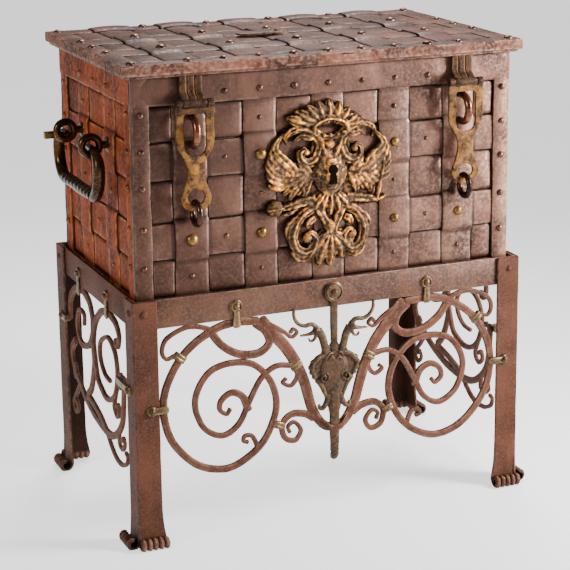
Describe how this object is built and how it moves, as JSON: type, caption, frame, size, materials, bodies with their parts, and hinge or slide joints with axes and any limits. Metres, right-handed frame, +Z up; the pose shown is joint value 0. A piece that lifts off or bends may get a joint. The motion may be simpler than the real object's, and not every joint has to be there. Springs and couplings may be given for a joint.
{
  "type": "iron war chest on stand",
  "caption": "Iron strongbox clad in riveted strapwork, with hinged lid, swinging hasps, key lock with bolts and drop handles, standing on a forged stand with scrollwork.",
  "frame": {"origin": "on the ground under the middle of the four feet", "axes": "+Z up, -Y towards the front with the escutcheon, +X to the right of someone facing the front"},
  "size_m": [0.83, 0.4991, 0.8368],
  "materials": {
    "stand_iron": "red-brown painted wrought iron, worn and lightly pitted",
    "clip_iron": "yellow-brown worn iron",
    "shell_iron": "rust-brown sheet iron",
    "strap_iron": "grey-brown hammered iron, polished on the edges by wear",
    "lid_iron": "grey-brown hammered iron",
    "gilt": "worn gilding over dark metal",
    "dark_steel": "dark forged steel, rubbed bright",
    "lock_steel": "plain filed steel"
  },
  "bodies": {
    "stand": {"leg_front_left": "stand_iron", "leg_front_right": "stand_iron", "leg_back_left": "stand_iron", "leg_back_right": "stand_iron", "rail_front": "stand_iron", "rail_back": "stand_iron", "rail_left": "stand_iron", "rail_right": "stand_iron", "front_scroll_left": "stand_iron", "front_scroll_right": "stand_iron", "side_scroll_left": "stand_iron", "side_scroll_right": "stand_iron", "front_pendant": "stand_iron", "rail_clip_left": "clip_iron", "rail_clip_right": "clip_iron", "leg_clip_left": "clip_iron", "leg_clip_right": "clip_iron"},
    "chest": {"front_plate": "shell_iron", "back_plate": "shell_iron", "left_plate": "shell_iron", "right_plate": "shell_iron", "bottom_plate": "shell_iron", "mouth_ledge": "shell_iron", "front_strapwork": "strap_iron", "back_strapwork": "strap_iron", "left_strapwork": "strap_iron", "right_strapwork": "strap_iron", "escutcheon": "gilt", "staple_left": "dark_steel", "staple_right": "dark_steel", "handle_eye_left_front": "dark_steel", "handle_eye_left_back": "dark_steel", "handle_eye_right_front": "dark_steel", "handle_eye_right_back": "dark_steel", "hinge_chest_leaf_left": "strap_iron", "hinge_chest_leaf_right": "strap_iron"},
    "lid": {"lid_rim": "lid_iron", "lid_plate": "lid_iron", "lid_strapwork": "lid_iron", "hinge_lid_leaf_left": "lid_iron", "hinge_lid_leaf_right": "lid_iron", "hasp_strap_left": "gilt", "hasp_strap_right": "gilt", "lock_case": "lock_steel", "lock_cover": "lock_steel"},
    "hasp_left": {"hasp_left": "gilt"},
    "hasp_right": {"hasp_right": "gilt"},
    "ring_left": {"pull_ring_left": "dark_steel"},
    "ring_right": {"pull_ring_right": "dark_steel"},
    "handle_left": {"handle_left": "dark_steel"},
    "handle_right": {"handle_right": "dark_steel"},
    "key_hub": {"key_hub": "lock_steel"},
    "keyhole_cover": {"keyhole_cover": "lid_iron"},
    "bolt_left": {"bolt_left": "lock_steel"},
    "bolt_right": {"bolt_right": "lock_steel"},
    "bolt_front": {"bolt_front": "lock_steel"},
    "bolt_back": {"bolt_back": "lock_steel"}
  },
  "joints": [
    {"name": "chest_lift", "type": "slide", "parent": "stand", "child": "chest", "axis": [0, 0, 1], "range_m": [0, 0.2]},
    {"name": "lid_open", "type": "hinge", "parent": "chest", "child": "lid", "pos_m": [0, 0.217, 0.7955], "axis": [-1, 0, 0], "range_deg": [0, 95]},
    {"name": "hasp_left_swing", "type": "hinge", "parent": "lid", "child": "hasp_left", "pos_m": [-0.25, -0.229, 0.7605], "axis": [-1, 0, 0], "range_deg": [0, 172]},
    {"name": "hasp_right_swing", "type": "hinge", "parent": "lid", "child": "hasp_right", "pos_m": [0.25, -0.229, 0.7605], "axis": [-1, 0, 0], "range_deg": [0, 172]},
    {"name": "ring_left_swing", "type": "hinge", "parent": "hasp_left", "child": "ring_left", "pos_m": [-0.25, -0.229, 0.58575], "axis": [-1, 0, 0], "range_deg": [0, 90]},
    {"name": "ring_right_swing", "type": "hinge", "parent": "hasp_right", "child": "ring_right", "pos_m": [0.25, -0.229, 0.58575], "axis": [-1, 0, 0], "range_deg": [0, 90]},
    {"name": "handle_left_swing", "type": "hinge", "parent": "chest", "child": "handle_left", "pos_m": [-0.381, 0, 0.6705], "axis": [0, 1, 0], "range_deg": [0, 95]},
    {"name": "handle_right_swing", "type": "hinge", "parent": "chest", "child": "handle_right", "pos_m": [0.381, 0, 0.6705], "axis": [0, -1, 0], "range_deg": [0, 95]},
    {"name": "key_turn", "type": "hinge", "parent": "lid", "child": "key_hub", "pos_m": [0.0625, 0.02, 0.8], "axis": [0, 0, 1], "range_deg": [0, 90]},
    {"name": "keyhole_cover_swing", "type": "hinge", "parent": "lid", "child": "keyhole_cover", "pos_m": [0, 0.02, 0.825], "axis": [0, 0, 1], "range_deg": [0, 180]},
    {"name": "bolt_left_throw", "type": "slide", "parent": "lid", "child": "bolt_left", "axis": [-1, 0, 0], "range_m": [0, 0.014]},
    {"name": "bolt_right_throw", "type": "slide", "parent": "lid", "child": "bolt_right", "axis": [1, 0, 0], "range_m": [0, 0.014]},
    {"name": "bolt_front_throw", "type": "slide", "parent": "lid", "child": "bolt_front", "axis": [0, -1, 0], "range_m": [0, 0.014]},
    {"name": "bolt_back_throw", "type": "slide", "parent": "lid", "child": "bolt_back", "axis": [0, 1, 0], "range_m": [0, 0.014]}
  ],
  "couplings": [
    {"joint": "hasp_left_swing", "follows": "lid_open", "ratio": 1.8},
    {"joint": "hasp_right_swing", "follows": "lid_open", "ratio": 1.8},
    {"joint": "key_turn", "follows": "bolt_left_throw", "rad_per_m": 112},
    {"joint": "bolt_right_throw", "follows": "bolt_left_throw", "ratio": 1},
    {"joint": "bolt_front_throw", "follows": "bolt_left_throw", "ratio": 1},
    {"joint": "bolt_back_throw", "follows": "bolt_left_throw", "ratio": 1}
  ]
}
